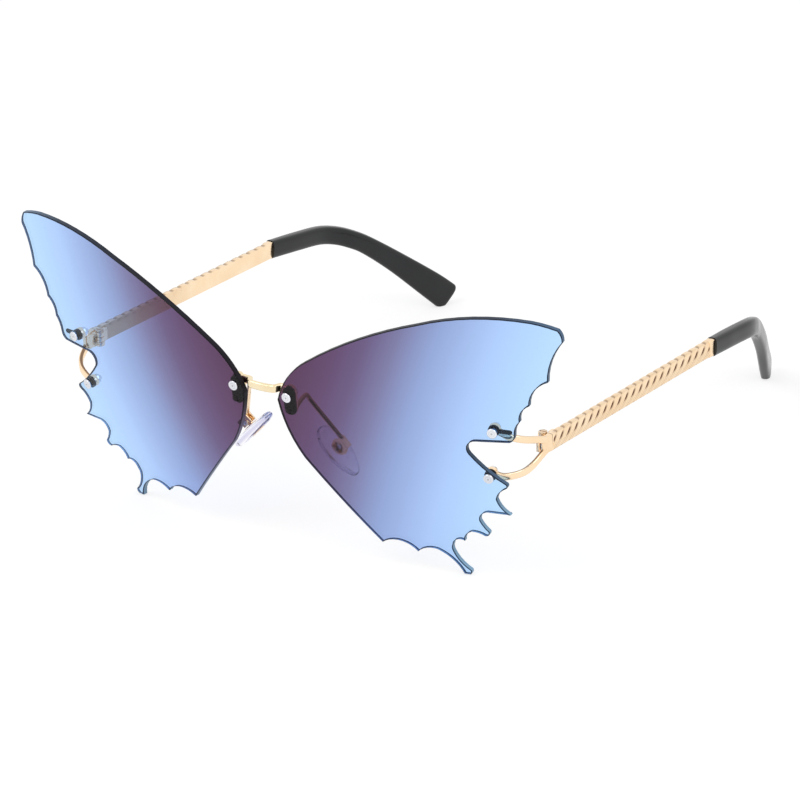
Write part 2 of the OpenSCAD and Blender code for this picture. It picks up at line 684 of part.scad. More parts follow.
// Temple bar: a plain strip with slanted strands of rope on its outer face and a plain collar
strand_n = 21;
collar_l = 2.4;
plain_l = 1.6;
strand_pitch = (bar_long - collar_l - plain_l) / strand_n;
strand_slant = 52;
strand_share = 0.23;
strand_r = bar_h * strand_share;
module bar_slope() {
    translate([bar_x, bar_start, hinge_z]) rotate([-bar_fall, 0, bar_close]) children();
}
module strand(i) {
    long = 2 * bar_h;
    translate([bar_t, plain_l + (i + 0.5) * strand_pitch, 0])
        rotate([90 - strand_slant, 0, 0])
            translate([rope_t - strand_r, 0, -long / 2])
                cylinder(r = strand_r, h = long, $fn = small_fn);
}
module temple_bar() {
    color("goldenrod") bar_slope() {
        translate([0, 0, -bar_h / 2]) cube([bar_t, bar_long, bar_h]);
        translate([bar_t - run, 0, -bar_h / 2]) cube([block_out - bar_t + run, plain_l, bar_h]);
        translate([bar_t - run, bar_long - collar_l, -bar_h / 2])
            cube([rope_t + run, collar_l, bar_h]);
        intersection() {
            translate([bar_t - run, plain_l - run, -bar_h / 2])
                cube([2 * rope_t, bar_long - collar_l - plain_l + 2 * run, bar_h]);
            for (i = [0:strand_n - 1])
                strand(i);
        }
    }
}

// Everything in front of the sleeve's mouth, which the bar itself fills
module mouth_cut() {
    bar_slope()
        translate([-bar_x, -cut, -2 * bar_h])
            cube([3 * bar_x, bar_long + cut + seat, 4 * bar_h]);
}
module tip_core() {
    color("silver") difference() {
        sweep(core_path, [for (p = core_path) wire_ring(core_d, core_sides)]);
        mouth_cut();
    }
}
module temple_tip() {
    socket = [for (i = [0:core_count]) wire_ring(core_d + 2 * run, core_sides)];
    start = tip_path[0] - heading(tip_path, 0) * cut;
    bore_path = concat([start], [for (i = [1:core_count]) core_path[i]],
        [core_path[core_count] + heading(core_path, core_count) * run]);
    color([0.1, 0.1, 0.1]) difference() {
        sweep(tip_path, tip_rings);
        sweep(bore_path, concat(socket, [socket[0]]));
        mouth_cut();
        ground_cut();
    }
}

color("cornflowerblue", 0.6) side_of(1) lens_body();  // left_lens
color("cornflowerblue", 0.6) side_of(-1) lens_body();  // right_lens
bridge_bar();
for (side = [1, -1]) color("silver") bridge_set(side) slotted_screw(lug_grip);  // bridge_screws
for (side = [1, -1]) color("dimgray") side_of(side) bridge_bush();  // bridge_bushes
for (side = [1, -1]) color("silver") bridge_set(side) nut(lug_grip);  // bridge_nuts
side_of(1) pad_arm();  // left_pad_arm
side_of(-1) pad_arm();  // right_pad_arm
side_of(1) pad_box();  // left_pad_box
side_of(-1) pad_box();  // right_pad_box
side_of(1) pad_screw();  // left_pad_screw
side_of(-1) pad_screw();  // right_pad_screw
side_of(1) pad_core();  // left_pad_core
side_of(-1) pad_core();  // right_pad_core
side_of(1) nose_pad();  // left_nose_pad
side_of(-1) nose_pad();  // right_nose_pad
side_of(1) end_piece();  // left_end_piece
side_of(-1) end_piece();  // right_end_piece
for (side = [1, -1]) color("silver") lens_set(side) slotted_screw(eye_grip);  // lens_screws
for (side = [1, -1]) color("dimgray") lens_set(side) bush();  // lens_bushes
for (side = [1, -1]) color("silver") lens_set(side) nut(eye_grip);  // lens_nuts
side_of(1) front_leaf();  // left_front_leaf
side_of(-1) front_leaf();  // right_front_leaf
side_of(1) hinge_screw();  // left_hinge_screw
side_of(-1) hinge_screw();  // right_hinge_screw
side_of(1) temple_bar();  // left_temple_bar
side_of(-1) temple_bar();  // right_temple_bar
side_of(1) temple_leaf();  // left_temple_leaf
side_of(-1) temple_leaf();  // right_temple_leaf
side_of(1) tip_core();  // left_tip_core
side_of(-1) tip_core();  // right_tip_core
side_of(1) temple_tip();  // left_temple_tip
side_of(-1) temple_tip();  // right_temple_tip
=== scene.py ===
"""Looks of the butterfly sunglasses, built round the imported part. Lengths are in millimetres until
a piece is made, and every shape is drawn on the wearer's left (+X) and mirrored for the right."""

import json
from collections import Counter
from math import ceil, cos, pi, radians, sin, sqrt

import bmesh
import bpy
import numpy as np
from mathutils import Matrix, Vector, geometry


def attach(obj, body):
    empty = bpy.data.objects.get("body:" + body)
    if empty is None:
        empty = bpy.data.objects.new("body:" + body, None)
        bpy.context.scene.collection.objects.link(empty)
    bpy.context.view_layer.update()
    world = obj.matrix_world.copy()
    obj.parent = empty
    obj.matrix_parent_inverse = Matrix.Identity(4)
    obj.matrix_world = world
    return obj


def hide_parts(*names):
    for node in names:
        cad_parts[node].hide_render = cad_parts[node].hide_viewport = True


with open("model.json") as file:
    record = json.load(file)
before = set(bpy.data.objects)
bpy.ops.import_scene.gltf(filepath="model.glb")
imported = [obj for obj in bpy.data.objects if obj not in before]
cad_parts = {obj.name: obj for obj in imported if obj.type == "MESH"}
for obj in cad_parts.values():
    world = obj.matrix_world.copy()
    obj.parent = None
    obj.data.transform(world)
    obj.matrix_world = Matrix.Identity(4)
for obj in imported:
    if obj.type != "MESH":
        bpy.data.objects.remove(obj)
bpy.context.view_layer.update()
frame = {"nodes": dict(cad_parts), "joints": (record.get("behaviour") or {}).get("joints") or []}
MM = 0.001
SIDES = {"left": 1, "right": -1}
MIRROR = np.array([-1, 1, 1])
JOINTS = {joint["name"]: joint for joint in frame["joints"]}

# Lens
LENS_TILT = 4.5
LENS_WRAP = 10
LENS_T = 1.4
BEVEL = 0.2

# Temple bar and its rope
BAR_T = 1.0
BAR_H = 4.1
BAR_FALL = 2.9
BAR_CLOSE = 0.8
BAR_LONG = 70 / cos(radians(BAR_FALL))
BAR_ASIDE = 1.2
BAR_EDGE = 0.16
ROPE_T = 0.7
STRANDS = 22
PLAIN = 0.5
COLLAR = 1.9

# Temple tip
TIP_H = 4.5
TIP_T = 3.2
TIP_ROUND = 1.1
HOOK_RUN = 50
HOOK_IN = 16.4

# Nose pad, its box and its arm
PAD_L = 13.8
PAD_W = 7.6
PAD_T = 2.5
PAD_SPLAY = 45
PAD_TURN = 6
PIN_X = 2.25
PIN_UP = 0.5
BOX_L = 3.0
BOX_BACK_X = 3.25
BOX_BACK_T = 0.5
CORE_R = 2.1
CORE_X = 0.98
CORE_T = 0.3
CORE_EDGE = 0.1
STEM_T = 0.8
STEM_H = 1.3
STEM_EDGE = 0.3
STEM_X = 1.2
ARM_D = 0.9
ARM_RISE = 1.0
ARM_LOOP = 4.2
ARM_DOWN = 3.07
WIRE_R = 0.54

# End piece and its hinge block
EYE_T = 1.0
EYE_R = 1.4
EYE_EDGE = 0.16
EYE_DEPTH = LENS_T + 1.04
PRONG_T = 1.0
PRONG_H = 1.7
PRONG_EDGE = 0.42
PRONG_GAP = 0.9
BLOCK_OUT = BAR_T + 0.6 * ROPE_T
BLOCK_L = 2.9
BLOCK_EDGE = 0.3
STOP_GAP = 0.03

# Bridge
LUG_T = 0.9
LUG_W = 2.6
LUG_EDGE = 0.2
LUG_DEPTH = LENS_T + 1.06
PEG_R = 0.45
PEG_FRONT = 0.37
PEG_EDGE = 0.08
BRIDGE_T = 1.2
BRIDGE_H = 1.95
BRIDGE_EDGE = 0.5
BRIDGE_GAP = 9.2
BRIDGE_RISE = 1.05
BRIDGE_BACK = 0.75

# Screws, bushes and gaps
SHANK_R = 0.55
SCREW_PAST = 1.5
POINT_EDGE = 0.15
LUG_GRIP = LENS_T + 1.53
EYE_GRIP = LENS_T + 1.56
BUSH_R = 0.8
BUSH_INNER_R = 0.58
BUSH_FRONT = 0.04
FLANGE_R = 1.35
FLANGE_T = 0.5
# Black plate along the upper prong, a painted shadow of the prong
PLATE_REACH = 3.8
PLATE_R = 0.5
PLATE_T = 0.4
PLATE_EDGE = 0.1
PLATE_GAP = 0.06
PLATE_SLOPE = 0.04
FREE = 0.3
SEAT = 0.02

# Points for each span of a curve and round a circle
SPAN_STEPS = 10
CIRCLE_POINTS = 40


# Points, turns and curves

def to_mm(point):
    return np.array(point, float) / MM


def unit(v):
    return v / np.linalg.norm(v)


def turn(axis, degrees):
    return np.array(Matrix.Rotation(radians(degrees), 3, axis))


def between(a, b, c, d, t):
    """Point at share t of the way from b to c on the smooth curve through all four."""
    return 0.5 * (2 * b + (c - a) * t + (2 * a - 5 * b + 4 * c - d) * t * t
                  + (3 * b - a - 3 * c + d) * t ** 3)


def smooth_curve(points):
    """Points on the smooth curve through the given rows."""
    p = np.array(points, float)
    p = np.vstack([p[:1], p, p[-1:]])
    made = [between(*p[i:i + 4], t) for i in range(len(p) - 3)
            for t in np.arange(SPAN_STEPS) / SPAN_STEPS]
    return np.array(made + [p[-2]])


def circle(radius, count=CIRCLE_POINTS):
    angles = 2 * pi * np.arange(count) / count
    return np.column_stack([radius * np.cos(angles), radius * np.sin(angles)])


def rounded_strip(thick, high, radius, per_corner=4):
    """Section of a strip with rounded corners, thick across and high upwards."""
    ring = []
    for k, (sx, sy) in enumerate([(1, 1), (-1, 1), (-1, -1), (1, -1)]):
        for a in np.linspace(0, pi / 2, per_corner) + k * pi / 2:
            ring.append([sx * (thick / 2 - radius) + radius * cos(a),
                         sy * (high / 2 - radius) + radius * sin(a)])
    return np.array(ring)


def oval(thick, high, power, count):
    """Section between an oval and a rectangle: a lower power is squarer."""
    a = 2 * pi * (np.arange(count) + 0.5) / count
    x, y = np.cos(a), np.sin(a)
    return np.column_stack([thick / 2 * np.sign(x) * abs(x) ** power,
                            high / 2 * np.sign(y) * abs(y) ** power])


def capsule(radius, above, below, count=12):
    """Outline of a plate with round ends, reaching so far above and below its origin."""
    a = pi * np.arange(count + 1) / count
    top = np.column_stack([radius * np.cos(a), above + radius * np.sin(a)])
    foot = np.column_stack([-radius * np.cos(a), -below - radius * np.sin(a)])
    return np.vstack([top, foot])


# Solids as rings of points

def along(path, sections):
    """Rings of the sections set square to the path, the first axis sideways and the second up."""
    path = np.array(path, float)
    rings = []
    for i, p in enumerate(path):
        ahead = unit(path[min(i + 1, len(path) - 1)] - path[max(i - 1, 0)])
        side = unit(np.cross(ahead, (0, 0, 1)))
        high = np.cross(side, ahead)
        section = sections[i] if isinstance(sections, list) else sections
        rings.append(p + section[:, :1] * side + section[:, 1:] * high)
    return rings


def round_end(path, sections, radius, steps=4, last_turn=82, least=0.05):
    """Goes on from the end of a path with sections that close in like a dome of that radius."""
    point, section = path[-1], sections[-1]
    outward = unit(point - path[-2])
    reach = np.abs(section).max()
    for k in range(1, steps + 1):
        a = radians(last_turn) * k / steps
        path.append(point + outward * radius * sin(a))
        sections.append(section * max(1 - radius * (1 - cos(a)) / reach, least))


def plate(outline, thick, edge):
    """Rings of a plate with rounded rims: columns are across, up and out of its back."""
    middle = outline.mean(0)
    reach = np.abs(outline - middle).max()
    bend = edge * 0.3
    rings = []
    for out, rim in [(0, edge), (bend, bend), (edge, 0), (thick - edge, 0), (thick - bend, bend),
                     (thick, edge)]:
        flat = middle + (outline - middle) * (1 - rim / reach)
        rings.append(np.column_stack([flat, np.full(len(flat), out)]))
    return rings


def lathe(profile, count=CIRCLE_POINTS):
    """Rings of a turned solid from its radii and its heights out of the lens face."""
    return [np.column_stack([circle(radius, count), np.full(count, height)]) for radius, height in profile]


class Shape:
    """Points, faces and the material number of each face, gathered from simple solids."""

    def __init__(self):
        self.points = []
        self.faces = []
        self.marks = []

    def add(self, points, faces=()):
        """Adds points with faces between them, and gives the number of the first point."""
        first = len(self.points)
        self.points.extend(np.asarray(points, float).tolist())
        self.faces.extend([[first + k for k in face] for face in faces])
        self.marks.extend([0] * len(faces))
        return first

    def add_band(self, a, b, count, mark):
        """Faces between two loops of points that are there already and start at a and b."""
        for k in range(count):
            n = (k + 1) % count
            self.faces.append([a + k, b + k, b + n, a + n])
            self.marks.append(mark)

    def add_solid(self, rings):
        """A solid through rings of equal length, closed at both ends."""
        m = len(rings[0])
        last = (len(rings) - 1) * m
        first = self.add(np.vstack(rings), [range(m), range(last, last + m)])
        for start in range(first, first + last, m):
            self.add_band(start, start + m, m, 0)

    def add_both(self, rings):
        """The solid on the left and its mirror image on the right."""
        self.add_solid(rings)
        self.add_solid([ring * MIRROR for ring in rings])

    def move(self, turned, by):
        self.points = (np.array(self.points) @ turned.T + by).tolist()


def make_piece(name, shape, body, node, materials, side=1, smooth_angle=40):
    """The mesh object that stands for a node, from a shape drawn on the left."""
    mesh = bpy.data.meshes.new(name)
    mesh.from_pydata((np.array(shape.points) * [side, 1, 1] * MM).tolist(), [], shape.faces)
    mesh.polygons.foreach_set("use_smooth", [True] * len(mesh.polygons))
    mesh.polygons.foreach_set("material_index", shape.marks)
    solid = bmesh.new()
    solid.from_mesh(mesh)
    bmesh.ops.recalc_face_normals(solid, faces=solid.faces)
    solid.to_mesh(mesh)
    solid.free()
    mesh.update()
    mesh.set_sharp_from_angle(angle=radians(smooth_angle))
    for material in materials:
        mesh.materials.append(material)
    piece = bpy.data.objects.new(name, mesh)
    bpy.context.scene.collection.objects.link(piece)
    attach(piece, body)
    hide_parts(node)
    return piece


def set_values(piece, name, values):
    """A value from 0 to 1 for each point of the mesh, for its material to read."""
    attribute = piece.data.attributes.new(name, "FLOAT", "POINT")
    attribute.data.foreach_set("value", np.clip(values, 0, 1).astype(np.float32))


# Materials: noises lie between these two values, and their bumps are this deep in metres
NOISE_LOW = 0.3
NOISE_HIGH = 0.7
NOISE_DETAIL = 3
BUMP_DEPTH = 0.00001
BUMP_STRENGTH = 0.3
METAL_GRAIN = 900
PLASTIC_GRAIN = 500
RUBBER_GRAIN = 400


def linear(srgb):
    """Scene-linear colour of an 8-bit sRGB colour."""
    share = [c / 255 for c in srgb]
    return [c / 12.92 if c <= 0.04045 else ((c + 0.055) / 1.055) ** 2.4 for c in share] + [1]


class Nodes:
    """A material's node tree with short calls to add and join nodes."""

    def __init__(self, name):
        self.material = bpy.data.materials.new(name)
        self.material.use_nodes = True
        self.tree = self.material.node_tree
        self.shader = self.tree.nodes["Principled BSDF"]
        self.output = self.tree.nodes["Material Output"]

    def add(self, kind, **settings):
        node = self.tree.nodes.new("ShaderNode" + kind)
        for key, value in settings.items():
            setattr(node, key, value)
        return node

    def join(self, source, target):
        self.tree.links.new(source, target)

    def set(self, **values):
        for key, value in values.items():
            self.shader.inputs[key.replace("_", " ")].default_value = value

    def value_of(self, attribute):
        return self.add("Attribute", attribute_name=attribute).outputs["Fac"]

    def noise(self, scale):
        where = self.add("TexCoord")
        noise = self.add("TexNoise")
        noise.inputs["Scale"].default_value = scale
        noise.inputs["Detail"].default_value = NOISE_DETAIL
        self.join(where.outputs["Object"], noise.inputs["Vector"])
        return noise.outputs["Fac"]

    def ramp(self, source, stops, into):
        ramp = self.add("ValToRGB")
        bar = ramp.color_ramp
        bar.elements[0].position, bar.elements[0].color = stops[0]
        bar.elements[1].position, bar.elements[1].color = stops[-1]
        for place, colour in stops[1:-1]:
            bar.elements.new(place).color = colour
        self.join(source, ramp.inputs["Fac"])
        self.join(ramp.outputs["Color"], into)

    def cloud(self, scale, light, dark, into):
        """A faint cloud of two tones."""
        self.ramp(self.noise(scale), [(NOISE_LOW, linear(dark)), (NOISE_HIGH, linear(light))], into)

    def mixed(self, attribute):
        """A mix that goes from A to B with a value of the mesh, joined to the base colour."""
        mix = self.add("Mix", data_type="RGBA")
        self.join(self.value_of(attribute), mix.inputs["Factor"])
        self.join(mix.outputs["Result"], self.shader.inputs["Base Color"])
        return mix

    def roughen(self, scale, low, high):
        """Roughness that varies with a noise between two values."""
        place = self.add("MapRange")
        place.inputs["From Min"].default_value = NOISE_LOW
        place.inputs["From Max"].default_value = NOISE_HIGH
        place.inputs["To Min"].default_value = low
        place.inputs["To Max"].default_value = high
        self.join(self.noise(scale), place.inputs["Value"])
        self.join(place.outputs["Result"], self.shader.inputs["Roughness"])

    def bump(self, scale):
        bump = self.add("Bump")
        bump.inputs["Distance"].default_value = BUMP_DEPTH
        bump.inputs["Strength"].default_value = BUMP_STRENGTH
        self.join(self.noise(scale), bump.inputs["Height"])
        self.join(bump.outputs["Normal"], self.shader.inputs["Normal"])

    def let_lamps_through(self):
        """Lamps shine through the clear shader, tinted as what is seen through it."""
        path = self.add("LightPath")
        clear = self.add("BsdfTransparent")
        mix = self.add("MixShader")
        self.join(self.shader.inputs["Base Color"].links[0].from_socket, clear.inputs["Color"])
        self.join(path.outputs["Is Shadow Ray"], mix.inputs["Fac"])
        self.join(self.shader.outputs["BSDF"], mix.inputs[1])
        self.join(clear.outputs["BSDF"], mix.inputs[2])
        self.join(mix.outputs["Shader"], self.output.inputs["Surface"])


def metal(name, light, dark, painted_shade, rough):
    """Metal with a faint cloud of two tones that turns to a third tone of painted shade where the mesh's
    painted shade value rises.
    """
    nodes = Nodes(name)
    nodes.set(Metallic=1.0)
    mix = nodes.mixed("painted_shade")
    nodes.cloud(METAL_GRAIN * 0.2, light, dark, mix.inputs["A"])
    mix.inputs["B"].default_value = linear(painted_shade)
    nodes.roughen(METAL_GRAIN, *rough)
    nodes.bump(METAL_GRAIN * 2)
    return nodes.material


def plastic(name, light, dark, rough, ior):
    nodes = Nodes(name)
    nodes.set(IOR=ior)
    nodes.cloud(PLASTIC_GRAIN * 0.3, light, dark, nodes.shader.inputs["Base Color"])
    nodes.roughen(PLASTIC_GRAIN, *rough)
    nodes.bump(PLASTIC_GRAIN * 3)
    return nodes.material


# Lens tint: distance in millimetres along the fade from the bridge, and the colour over white
TINT_STOPS = [(0, (97, 71, 98)), (8, (105, 82, 115)), (15, (113, 98, 135)), (22, (129, 128, 168)),
              (31, (149, 168, 214)), (38, (163, 187, 233)), (45, (176, 205, 250)),
              (55, (184, 218, 254)), (65, (192, 227, 255))]
TINT_LENGTH = 70
TINT_SLOPE = 0.39
MIRRORED = 0.022
LOST = MIRRORED * 1.8
DARKEST = 0.004
EDGE_PLACES = (0, 0.3, 0.6, 0.95)


def tint(srgb):
    """Colour that a lens passes, so that with its mirrored light it shows the given colour."""
    return [max(c - MIRRORED, DARKEST) / (1 - LOST) for c in linear(srgb)[:3]] + [1]


def lens_material():
    nodes = Nodes("tinted_lens")
    nodes.set(Roughness=0.0, IOR=1.3, Transmission_Weight=1.0)
    stops = [(along_fade / TINT_LENGTH, tint(colour)) for along_fade, colour in TINT_STOPS]
    nodes.ramp(nodes.value_of("fade"), stops, nodes.shader.inputs["Base Color"])
    nodes.let_lamps_through()
    return nodes.material


def edge_material(name, colours, low_colours):
    """Cut edge of a lens in painted shade and light: dark at the top, and lighter along the foot of the
    wing.
    """
    nodes = Nodes(name)
    nodes.set(IOR=1.35, Roughness=0.35, Specular_IOR_Level=0.3)
    mix = nodes.mixed("low")
    for tones, end in ((colours, "A"), (low_colours, "B")):
        stops = [(place, linear(tone)) for place, tone in zip(EDGE_PLACES, tones)]
        nodes.ramp(nodes.value_of("fade"), stops, mix.inputs[end])
    return nodes.material


def clear_material(name, colour, rim_colour, ior, rough):
    """Clear rubber that takes the second colour along its rim, as painted shade for the dark outline of its
    edge.
    """
    nodes = Nodes(name)
    nodes.set(IOR=ior, Transmission_Weight=1.0)
    nodes.ramp(nodes.value_of("rim"), [(0, linear(colour)), (1, linear(rim_colour))],
               nodes.shader.inputs["Base Color"])
    nodes.roughen(RUBBER_GRAIN, rough, rough * 2)
    nodes.let_lamps_through()
    return nodes.material


# The third colour of each metal is the colour of its painted shade
GOLD = metal("pale_gold", (255, 230, 196), (250, 220, 182), (88, 48, 28), (0.16, 0.24))
BRIDGE_GOLD = metal("bridge_gold", (250, 234, 200), (240, 220, 180), (78, 44, 24), (0.18, 0.26))
HINGE_STEEL = metal("hinge_screw_gold", (232, 208, 178), (212, 184, 150), (60, 40, 26), (0.2, 0.3))
STEEL = metal("polished_steel", (236, 238, 242), (216, 218, 224), (70, 72, 80), (0.14, 0.22))
# Black of the bushes, also used for the painted shadow plate along each upper prong
BLACK = plastic("black_bush_and_shadow_plate", (14, 6, 8), (8, 4, 6), (0.4, 0.5), 1.3)
TIP = plastic("tip_charcoal", (26, 28, 30), (20, 22, 24), (0.16, 0.24), 1.45)
LENS = lens_material()
# Edge walls and rim bands take painted shade, darkest at the top, and painted light along the foot of the
# wing
EDGE = edge_material("lens_edge", [(26, 22, 32), (28, 32, 44), (40, 52, 72), (104, 138, 174)],
                     [(120, 94, 132), (124, 138, 174), (138, 180, 216), (168, 210, 240)])
RIM = edge_material("lens_rim", [(10, 8, 14), (14, 16, 24), (20, 30, 46), (42, 64, 92)],
                    [(64, 50, 72), (56, 64, 88), (42, 62, 88), (66, 98, 132)])
SILICONE = clear_material("clear_silicone", (252, 252, 255), (224, 222, 240), 1.33, 0.06)
LENS_MATERIALS = [LENS, EDGE, RIM]
EDGE_MARK = LENS_MATERIALS.index(EDGE)
RIM_MARK = LENS_MATERIALS.index(RIM)


# Lens: read back from its node, then laid out again with a fine dome and polished edges
LENS_AXES = turn("Z", LENS_WRAP) @ turn("X", LENS_TILT)
FACING_FRONT = 0.93
CORNER = 32
OUTLINE_STEP = 0.5
LONG_SIDE = 3
GRID = 1.5
RIM_ROOM = 0.45 * GRID

# The foot of a wing, where its edge takes lighter colours as painted light: how far below the bridge screw
# it starts, how much lower that is at the far end of its run, and over what height it fades in
FOOT_DROP = 4
FOOT_FALL = 11
FOOT_RUN = 30
FOOT_FADE = 8


def cad_triangles(node, side):
    """A node's points, in millimetres and mirrored to the left, and its triangles."""
    mesh = frame["nodes"][node].data
    mesh.calc_loop_triangles()
    points = np.array([v.co for v in mesh.vertices]) / MM * [side, 1, 1]
    triangles = np.array([t.vertices for t in mesh.loop_triangles])
    if side < 0:
        triangles = triangles[:, ::-1]
    points, index = np.unique(points.round(4), axis=0, return_inverse=True)
    triangles = index.reshape(-1)[triangles]
    whole = [t for t in triangles if len(set(t)) == 3]
    return points, np.array(whole)


def dome_of(points, triangles):
    """Triangles of the front face, with the centre and radius of its sphere."""
    a, b, c = (points[triangles[:, k]] for k in range(3))
    normal = np.cross(b - a, c - a)
    normal /= np.linalg.norm(normal, axis=1)[:, None]
    front = triangles[normal @ LENS_AXES[:, 1] < -FACING_FRONT]
    used = points[np.unique(front)]
    rows = np.column_stack([2 * used, np.ones(len(used))])
    solved = np.linalg.lstsq(rows, (used ** 2).sum(1), rcond=None)[0]
    centre = solved[:3]
    return front, centre, sqrt(solved[3] + centre @ centre)


def border_loops(triangles):
    """Closed loops of points round a set of triangles."""
    sides = Counter()
    for t in triangles:
        for k in range(3):
            sides[(t[k], t[(k + 1) % 3])] += 1
    following = {a: b for a, b in sides if (b, a) not in sides}
    loops = []
    while following:
        start, b = following.popitem()
        loop = [start]
        while b != start:
            loop.append(b)
            b = following.pop(b)
        loops.append(loop)
    return loops


def area_of(loop):
    x, z = loop[:, 0], loop[:, 1]
    return 0.5 * (x @ np.roll(z, -1) - z @ np.roll(x, -1))


def finer(loop):
    """The outline with more points on its smooth stretches, its corners kept."""
    n = len(loop)
    ahead = np.roll(loop, -1, 0) - loop
    angle = np.arctan2(ahead[:, 1], ahead[:, 0])
    bend = np.degrees(abs((angle - np.roll(angle, 1) + pi) % (2 * pi) - pi))
    made = []
    for i in range(n):
        a, b, c, d = loop[i - 1], loop[i], loop[(i + 1) % n], loop[(i + 2) % n]
        if bend[i] > CORNER:
            a = b
        if bend[(i + 1) % n] > CORNER:
            d = c
        length = np.linalg.norm(c - b)
        if max(np.linalg.norm(b - a), np.linalg.norm(d - c)) > LONG_SIDE * length:
            a, d = b, c
        parts = max(1, ceil(length / OUTLINE_STEP))
        made += [between(a, b, c, d, t) for t in np.arange(parts) / parts]
    return np.array(made)


def inset(loop, by):
    """The outline moved inward along the bisector of each corner."""
    back = loop - np.roll(loop, 1, 0)
    ahead = np.roll(loop, -1, 0) - loop
    back /= np.linalg.norm(back, axis=1)[:, None]
    ahead /= np.linalg.norm(ahead, axis=1)[:, None]
    inward = np.column_stack([-(back + ahead)[:, 1], (back + ahead)[:, 0]])
    inward /= np.linalg.norm(inward, axis=1)[:, None]
    square = np.column_stack([-back[:, 1], back[:, 0]])
    stretch = np.clip((inward * square).sum(1), 0.5, 1)
    return loop + inward * (by / stretch)[:, None]


def inside(points, loop):
    """Which points lie inside the outline."""
    x, z = points[:, :1], points[:, 1:]
    a, b = loop, np.roll(loop, -1, 0)
    crosses = (a[:, 1] > z) != (b[:, 1] > z)
    where = a[:, 0] + (z - a[:, 1]) * (b[:, 0] - a[:, 0]) / (b[:, 1] - a[:, 1] + 1e-12)
    return (crosses & (x < where)).sum(1) % 2 == 1


def within(points, outline, holes):
    """Which points lie inside the outline and in none of the holes."""
    keep = inside(points, outline)
    for hole in holes:
        keep &= ~inside(points, hole)
    return keep


def sheet_of(outline, holes):
    """Flat points and triangles that fill the outline and leave the holes open. The outline's
    points come first, and then those of the holes."""
    low, high = outline.min(0), outline.max(0)
    rows = []
    for i, z in enumerate(np.arange(low[1], high[1], GRID * sqrt(0.75))):
        for x in np.arange(low[0] + GRID / 2 * (i % 2), high[0], GRID):
            rows.append([x, z])
    grid = np.array(rows)
    loops = [outline] + holes
    rim = np.vstack(loops)
    near = ((grid[:, None] - rim[None]) ** 2).sum(2).min(1)
    points = np.vstack([rim, grid[within(grid, outline, holes) & (near > RIM_ROOM ** 2)]])
    edges, first = [], 0
    for loop in loops:
        n = len(loop)
        edges += [(first + k, first + (k + 1) % n) for k in range(n)]
        first += n
    made = geometry.delaunay_2d_cdt([Vector(p) for p in points], edges, [], 0, 1e-7, True)
    flat = np.array([list(v) for v in made[0]])
    faces = np.array(made[2])
    return flat, faces[within(flat[faces].mean(1), outline, holes)]


class Lens:
    """Place and outline of one lens, in its own frame: x across, y back, z up from its crown."""

    def __init__(self, node, side):
        points, triangles = cad_triangles(node, side)
        front, self.centre, self.radius = dome_of(points, triangles)
        self.crown = self.centre - self.radius * LENS_AXES[:, 1]
        local = (points - self.crown) @ LENS_AXES
        loops = [local[loop][:, [0, 2]] for loop in border_loops(front)]
        loops = [loop if area_of(loop) > 0 else loop[::-1] for loop in loops]
        loops.sort(key=area_of, reverse=True)
        self.outline = loops[0]

        # Round holes: two near the nose, the peg's the smaller, and two at the end piece
        rounds = []
        for loop in loops[1:5]:
            centre = loop.mean(0)
            rounds.append((centre, np.linalg.norm(loop - centre, axis=1).mean()))
        rounds.sort(key=lambda hole: hole[0][0])
        bridge, peg = sorted(rounds[:2], key=lambda hole: -hole[1])
        lower, upper = sorted(rounds[2:], key=lambda hole: hole[0][1])
        self.holes = {"bridge": bridge, "peg": peg, "upper": upper, "lower": lower}

    def depth(self, flat, below=0.0):
        """How far back the sphere lies that is that far below the front face."""
        r = self.radius - below
        return self.radius - np.sqrt(r * r - (flat ** 2).sum(-1))

    def lift(self, flat, below=0.0, further=0.0):
        """Places of flat points on that sphere, moved further back by a length."""
        back = self.depth(flat, below) + further
        return np.column_stack([flat[:, 0], back, flat[:, 1]])

    def place(self, local):
        """Places in the part's frame of points in the lens's own."""
        return np.array(local) @ LENS_AXES.T + self.crown

    def hole_axes(self, name):
        """Front point of a hole's axis, and axes there as columns: across, up and out of the face."""
        flat = self.holes[name][0]
        out = LENS_AXES @ [flat[0], self.depth(flat) - self.radius, flat[1]] / self.radius
        across = unit(np.cross((0, 0, 1), out))
        point = self.place(self.lift(flat[None])[0])
        return point, np.column_stack([across, np.cross(out, across), out])


def build_lens(lens, side_name, side):
    outline = finer(lens.outline)
    holes = [centre + circle(radius) for centre, radius in lens.holes.values()]
    flat, faces = sheet_of(inset(outline, BEVEL), holes)
    shape = Shape()
    front = shape.add(lens.lift(flat), faces.tolist())
    back = shape.add(lens.lift(flat, LENS_T), faces.tolist())
    front_rim = shape.add(lens.lift(outline, 0, BEVEL))
    back_rim = shape.add(lens.lift(outline, LENS_T, -BEVEL))
    count = len(outline)
    shape.add_band(front, front_rim, count, RIM_MARK)
    shape.add_band(front_rim, back_rim, count, EDGE_MARK)
    shape.add_band(back_rim, back, count, RIM_MARK)
    for k in range(len(holes)):
        first = count + k * CIRCLE_POINTS
        shape.add_band(front + first, back + first, CIRCLE_POINTS, EDGE_MARK)
    local = np.array(shape.points)
    bridge = lens.holes["bridge"][0]
    aside, rise = local[:, 0] - bridge[0], local[:, 2] - bridge[1]
    foot = -FOOT_DROP - FOOT_FALL * np.clip(aside / FOOT_RUN, 0, 1)
    shape.points = lens.place(local).tolist()
    piece = make_piece(side_name + "_tinted_lens", shape, "front", side_name + "_lens", LENS_MATERIALS,
                       side, smooth_angle=30)
    set_values(piece, "fade", (aside - TINT_SLOPE * rise) / TINT_LENGTH)
    set_values(piece, "low", (foot - rise) / FOOT_FADE)


# Temple bar: points of the rope along a strand and from foot to top
STRAND_STEPS = 26
ROPE_ROWS = 41

